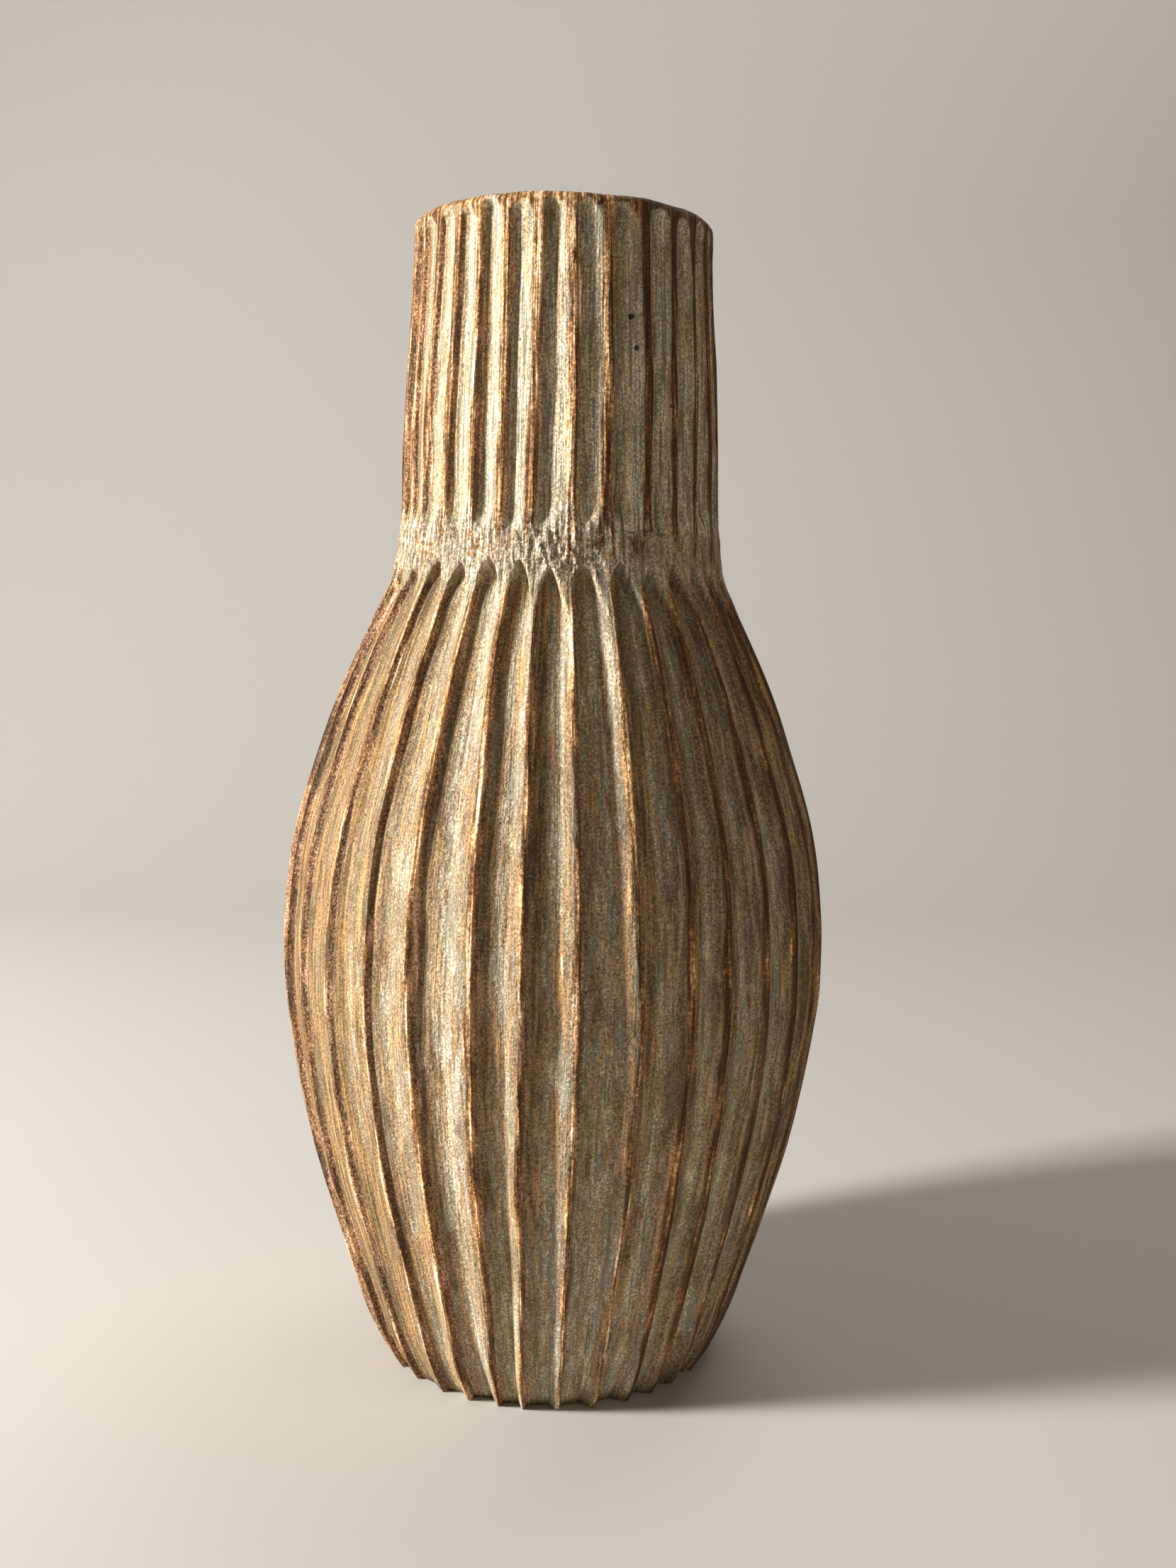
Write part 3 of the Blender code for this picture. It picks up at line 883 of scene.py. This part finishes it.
def brown_hairlines(mix, color, streaks):
    """Upright brown hairlines where the tool dragged grit."""
    # More hairlines on the flanks at the right of the pot's face: painted shade.
    crowd = mix.plus(
        mix.times(mix.flank, 0.07), mix.times(mix.stain, 0.14), mix.times(mix.toast, 0.12),
        mix.times(mix.times(mix.lee, mix.flank), 0.13), mix.times(streaks, 0.21),
    )
    hair = mix.plus(
        mix.times(mix.hairs, 0.5), mix.times(mix.lines, 0.5), mix.swing(mix.dragged, 0.22), crowd
    )
    return mix.blend(mix.times(mix.soft_cut(hair, 0.565, 0.68), 0.80), color, HAIRLINE_BROWN)


def brown_blotches(mix, color, stained):
    """Blotches beside the foot of a steep edge."""
    blot = mix.plus(
        mix.times(mix.stain, mix.times(stained, 0.50)), mix.swing(mix.dragged, 0.80),
        mix.swing(mix.patches, 0.70), mix.swing(mix.lines, 0.50), mix.swing(mix.crumbs, 0.60),
        mix.times(mix.times(mix.stain, mix.toast), 0.30),
    )
    return mix.blend(mix.times(mix.soft_cut(blot, 0.24, 0.66), 0.72), color, BLOTCH_BROWN)


def worn_mask(mix, iron):
    """Where the slip has gone from a rib's crest; iron moves its limit."""
    worn = mix.plus(
        mix.bare, mix.swing(mix.lines, 0.45), mix.swing(mix.hairs, 0.40),
        mix.swing(mix.dragged, 0.40), mix.swing(mix.grain, 0.20), mix.swing(mix.patches, 0.35),
        mix.calc("MULTIPLY_ADD", iron, 0.6, -0.3),
    )
    return mix.soft_cut(worn, 0.34, 0.62)


def bare_crests(mix, color, worn):
    """Crests: bare iron clay with cream left in its grooves."""
    # Darker iron on the right of the pot's face: painted shade.
    tone = mix.plus(
        mix.times(mix.lines, 0.6), mix.times(mix.hairs, 0.4), mix.swing(mix.clouds, 0.20),
        mix.swing(mix.crumbs, 0.25), mix.times(mix.lee, -0.17),
    )
    return mix.blend(worn, color, mix.ramp(tone, IRON_RAMP))


def rose_edges(mix, color):
    """Steep edges: rose-brown."""
    steep = mix.plus(
        mix.edge, mix.swing(mix.lines, 0.30), mix.swing(mix.crumbs, 0.30),
        mix.times(mix.times(mix.edge, mix.toast), 0.25),
    )
    rose = mix.ramp(mix.plus(mix.dragged, mix.swing(mix.grain, 0.3)), ROSE_RAMP)
    return mix.blend(mix.times(mix.soft_cut(steep, 0.42, 0.88), 0.88), color, rose)


def torn_band(mix, color):
    """Torn clay: cream on its crumbs, brown in its cracks."""
    high = mix.plus(mix.crumbs, mix.swing(mix.lines, 0.5))
    flecks = mix.times(mix.soft_cut(high, 0.46, 0.60), mix.torn)
    color = mix.blend(mix.times(flecks, 0.60), color, CRUMB_CREAM)
    deep = mix.plus(mix.crumbs, mix.swing(mix.hairs, 0.5))
    cracks = mix.times(mix.soft_cut(deep, 0.46, 0.34), mix.torn)
    return mix.blend(mix.times(cracks, 0.50), color, CRACK_BROWN)


def pit_mask(mix):
    """Small pits, in about one cell out of seven."""
    cells = mix.node("ShaderNodeTexVoronoi", {"Vector": mix.here, "Scale": 330.0}, feature="F1")
    chance = mix.node("ShaderNodeSeparateColor", {0: cells.outputs["Color"]}).outputs[0]
    size = mix.times(
        mix.soft_cut(chance, 0.86, 1.0), mix.plus(mix.swing(mix.grain, 0.12), 0.17)
    )
    return mix.soft_cut(mix.calc("SUBTRACT", size, cells.outputs["Distance"]), 0.0, 0.05)


def sanded(mix, color):
    """The same colour, lighter and darker from grain to grain, and darker where it is toasted."""
    shade = mix.plus(
        mix.swing(mix.grain, 1.80), mix.swing(mix.hairs, 2.00), mix.swing(mix.lines, 1.40)
    )
    shade = mix.calc("MAXIMUM", shade, -0.45)
    value = mix.plus(shade, mix.times(mix.toast, -0.13), 1.0)
    return mix.node("ShaderNodeHueSaturation", {"Value": value, "Color": color}).outputs["Color"]


def worn_slip(wheel, specks):
    """Cream slip over iron-brown clay: dragged upwards, thin on the flanks, gone on the crests."""
    group, given, result = new_group(
        "Worn slip",
        {"Streaks": 0.5, "Stain": 1.0, "Iron": 0.5},
        {"Color": "NodeSocketColor", "Roughness": "NodeSocketFloat", "Height": "NodeSocketFloat"},
    )
    mix = ClayMixer(group, wheel)
    worn = worn_mask(mix, given.outputs["Iron"])
    pits = pit_mask(mix)
    spots = mix.node("ShaderNodeGroup", node_tree=specks).outputs["Mask"]

    color = slip_coat(mix)
    color = golden_wash(mix, color)
    color = brown_hairlines(mix, color, given.outputs["Streaks"])
    color = brown_blotches(mix, color, given.outputs["Stain"])
    color = bare_crests(mix, color, worn)
    color = rose_edges(mix, color)
    color = torn_band(mix, color)
    color = mix.blend(mix.times(pits, 0.75), color, PIT_BROWN)
    color = mix.blend(mix.times(spots, 0.92), color, MELTED_IRON)
    color = sanded(mix, color)
    liner = mix.ramp(mix.clouds, LINER_RAMP)
    color = mix.blend(mix.soft_cut(mix.inner, 0.2, 0.9), color, liner)
    group.links.new(color, result.inputs["Color"])

    rough = mix.calc("MULTIPLY_ADD", mix.grain, 0.14, 0.78)
    rough = mix.plus(rough, mix.times(worn, -0.12), mix.times(mix.inner, -0.30))
    group.links.new(rough, result.inputs["Roughness"])

    height = mix.plus(
        mix.times(mix.hairs, 0.55), mix.times(mix.lines, 0.70), mix.times(mix.grain, 0.45),
        mix.times(mix.dragged, 0.45), mix.times(mix.times(mix.crumbs, mix.torn), 1.1),
        mix.times(mix.crumbs, 0.50), mix.times(pits, -0.30),
    )
    height = mix.times(height, mix.calc("MULTIPLY_ADD", mix.inner, -0.75, 1.0))
    group.links.new(height, result.inputs["Height"])
    return group


def clay_material(name, finish, look):
    """Dry clay with the finish. look is (streaks, stain, iron, relief in metres)."""
    streaks, stain, iron, relief = look
    material = bpy.data.materials.new(name)
    material.use_nodes = True
    tree = material.node_tree
    shader = tree.nodes["Principled BSDF"]
    worn = place_node(tree, "ShaderNodeGroup", node_tree=finish)
    worn.inputs["Streaks"].default_value = streaks
    worn.inputs["Stain"].default_value = stain
    worn.inputs["Iron"].default_value = iron
    bump = place_node(
        tree, "ShaderNodeBump",
        {"Height": worn.outputs["Height"], "Strength": 1.0, "Distance": relief},
    )
    tree.links.new(worn.outputs["Color"], shader.inputs["Base Color"])
    tree.links.new(worn.outputs["Roughness"], shader.inputs["Roughness"])
    tree.links.new(bump.outputs["Normal"], shader.inputs["Normal"])
    shader.inputs["Specular IOR Level"].default_value = 0.20
    return material


# ---------------------------------------------------------------- studio
FLOOR_WIDTH, FLOOR_LENGTH = 6.0, 3.6
FLOOR_FORWARDS = 0.4             # how far the floor's middle lies in front of the vase
BACKDROP_HEIGHT = 2.6
BACKDROP_CURVE = 0.7
PALE_PAINT = (0.54, 0.525, 0.50, 1)
ROOM_AIR = (0.80, 0.75, 0.67, 1)

# Soft lights: name, azimuth, elevation, distance from the vase's middle, size, watts, colour.
LIGHTS = (
    ("window", -74, 20, 1.5, (0.20, 0.42), 49, (1.0, 0.975, 0.935)),
    ("card", 55, 32, 1.6, (0.8, 0.8), 2.4, (1.0, 0.86, 0.66)),
    ("back_card", 150, 55, 2.0, (1.2, 1.2), 14.0, (1.0, 0.93, 0.84)),
)


def soft_light(name, azimuth, elevation, distance, size, power, color):
    """Area light that faces the vase's middle."""
    data = bpy.data.lights.new(name, "AREA")
    data.shape = "RECTANGLE"
    data.size, data.size_y = size
    data.energy = power
    data.color = color
    light = bpy.data.objects.new(name, data)
    bpy.context.scene.collection.objects.link(light)
    a, e = math.radians(azimuth), math.radians(elevation)
    way = Vector((math.sin(a) * math.cos(e), -math.cos(a) * math.cos(e), math.sin(e)))
    light.location = Vector((0, 0, HEIGHT / 2)) + way * distance
    light.rotation_euler = (-way).to_track_quat("-Z", "Y").to_euler()
    light.visible_camera = False


def select_edges(obj, wanted):
    """In edit mode, selects only the edges whose two ends are both wanted."""
    bpy.ops.mesh.select_all(action="DESELECT")
    bm = bmesh.from_edit_mesh(obj.data)
    for edge in bm.edges:
        edge.select = all(wanted(vert.co) for vert in edge.verts)
    bmesh.update_edit_mesh(obj.data)


def make_backdrop():
    """Pale floor that curves up into a wall at its back edge."""
    deselect()
    bpy.ops.mesh.primitive_plane_add(size=1, location=(0, 0, 0))
    floor = bpy.context.active_object
    floor.name = "studio_floor"
    floor.scale = (FLOOR_WIDTH, FLOOR_LENGTH, 1)
    floor.location = (0, -FLOOR_FORWARDS, 0)
    bpy.ops.object.transform_apply(location=True, rotation=True, scale=True)
    back = FLOOR_LENGTH / 2 - FLOOR_FORWARDS - 0.1
    bpy.ops.object.mode_set(mode="EDIT")
    bpy.ops.mesh.select_mode(type="EDGE")
    select_edges(floor, lambda co: co.y > back)
    bpy.ops.mesh.extrude_region_move(TRANSFORM_OT_translate={"value": (0, 0, BACKDROP_HEIGHT)})
    select_edges(floor, lambda co: co.y > back and abs(co.z) < 0.01)
    bpy.ops.mesh.bevel(offset=BACKDROP_CURVE, segments=16, affect="EDGES")
    bpy.ops.object.mode_set(mode="OBJECT")
    bpy.ops.object.shade_smooth()
    paint = bpy.data.materials.new("studio_pale")
    paint.use_nodes = True
    shader = paint.node_tree.nodes["Principled BSDF"]
    shader.inputs["Base Color"].default_value = PALE_PAINT
    shader.inputs["Roughness"].default_value = 0.9
    floor.data.materials.append(paint)


def make_studio():
    """Backdrop, faint warm air, a strong soft light at the left and weak fills."""
    make_backdrop()
    world = bpy.data.worlds.new("studio_air")
    world.use_nodes = True
    air = world.node_tree.nodes["Background"]
    air.inputs["Color"].default_value = ROOM_AIR
    air.inputs["Strength"].default_value = 0.09
    bpy.context.scene.world = world
    for light in LIGHTS:
        soft_light(*light)


def make_camera():
    """Level with two thirds of the vase's height, tipped down a little."""
    distance, rise = 1.394 * HEIGHT, 0.680 * HEIGHT
    yaw, pitch, roll = 0.0206, -0.1174, 0.0175
    forward = Vector((
        math.sin(yaw) * math.cos(pitch), math.cos(yaw) * math.cos(pitch), math.sin(pitch)
    ))
    right = Vector((math.cos(yaw), -math.sin(yaw), 0))
    up = right.cross(forward)
    across = math.cos(roll) * right + math.sin(roll) * up
    upward = -math.sin(roll) * right + math.cos(roll) * up
    data = bpy.data.cameras.new("camera")
    data.sensor_width = 36.0
    data.lens = 35.80
    data.clip_start = 0.01
    camera = bpy.data.objects.new("camera", data)
    bpy.context.scene.collection.objects.link(camera)
    turn = Matrix((across, upward, -forward)).transposed().to_4x4()
    camera.matrix_world = Matrix.Translation((0, -distance, rise)) @ turn
    bpy.context.scene.camera = camera


# ---------------------------------------------------------------- assembly
# Each piece: its maker, the CAD node that it replaces, its slot, and its look for clay_material.
PIECES = (
    (make_floor_disc, "base_slab", "floor_clay", (0.50, 0.30, 0.80, 0.0003)),
    (make_belly, "body_wall", "belly_clay", (0.40, 0.85, 0.55, 0.0009)),
    (make_collar, "collar_coil", "collar_clay", (0.60, 0.50, 0.45, 0.0009)),
    (make_neck, "neck_wall", "neck_clay", (0.15, 0.45, 0.60, 0.0009)),
    (make_lip, "lip_ring", "lip_clay", (0.40, 0.60, 0.55, 0.0005)),
)


def main():
    make_camera()
    make_studio()
    bpy.context.scene.view_settings.view_transform = "Standard"
    finish = worn_slip(wheel_coordinates(), iron_specks())
    for make, node, slot, look in PIECES:
        piece = make()
        piece.data.materials.clear()
        piece.data.materials.append(clay_material(slot, finish, look))
        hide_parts(node)
        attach(piece, "root")


main()
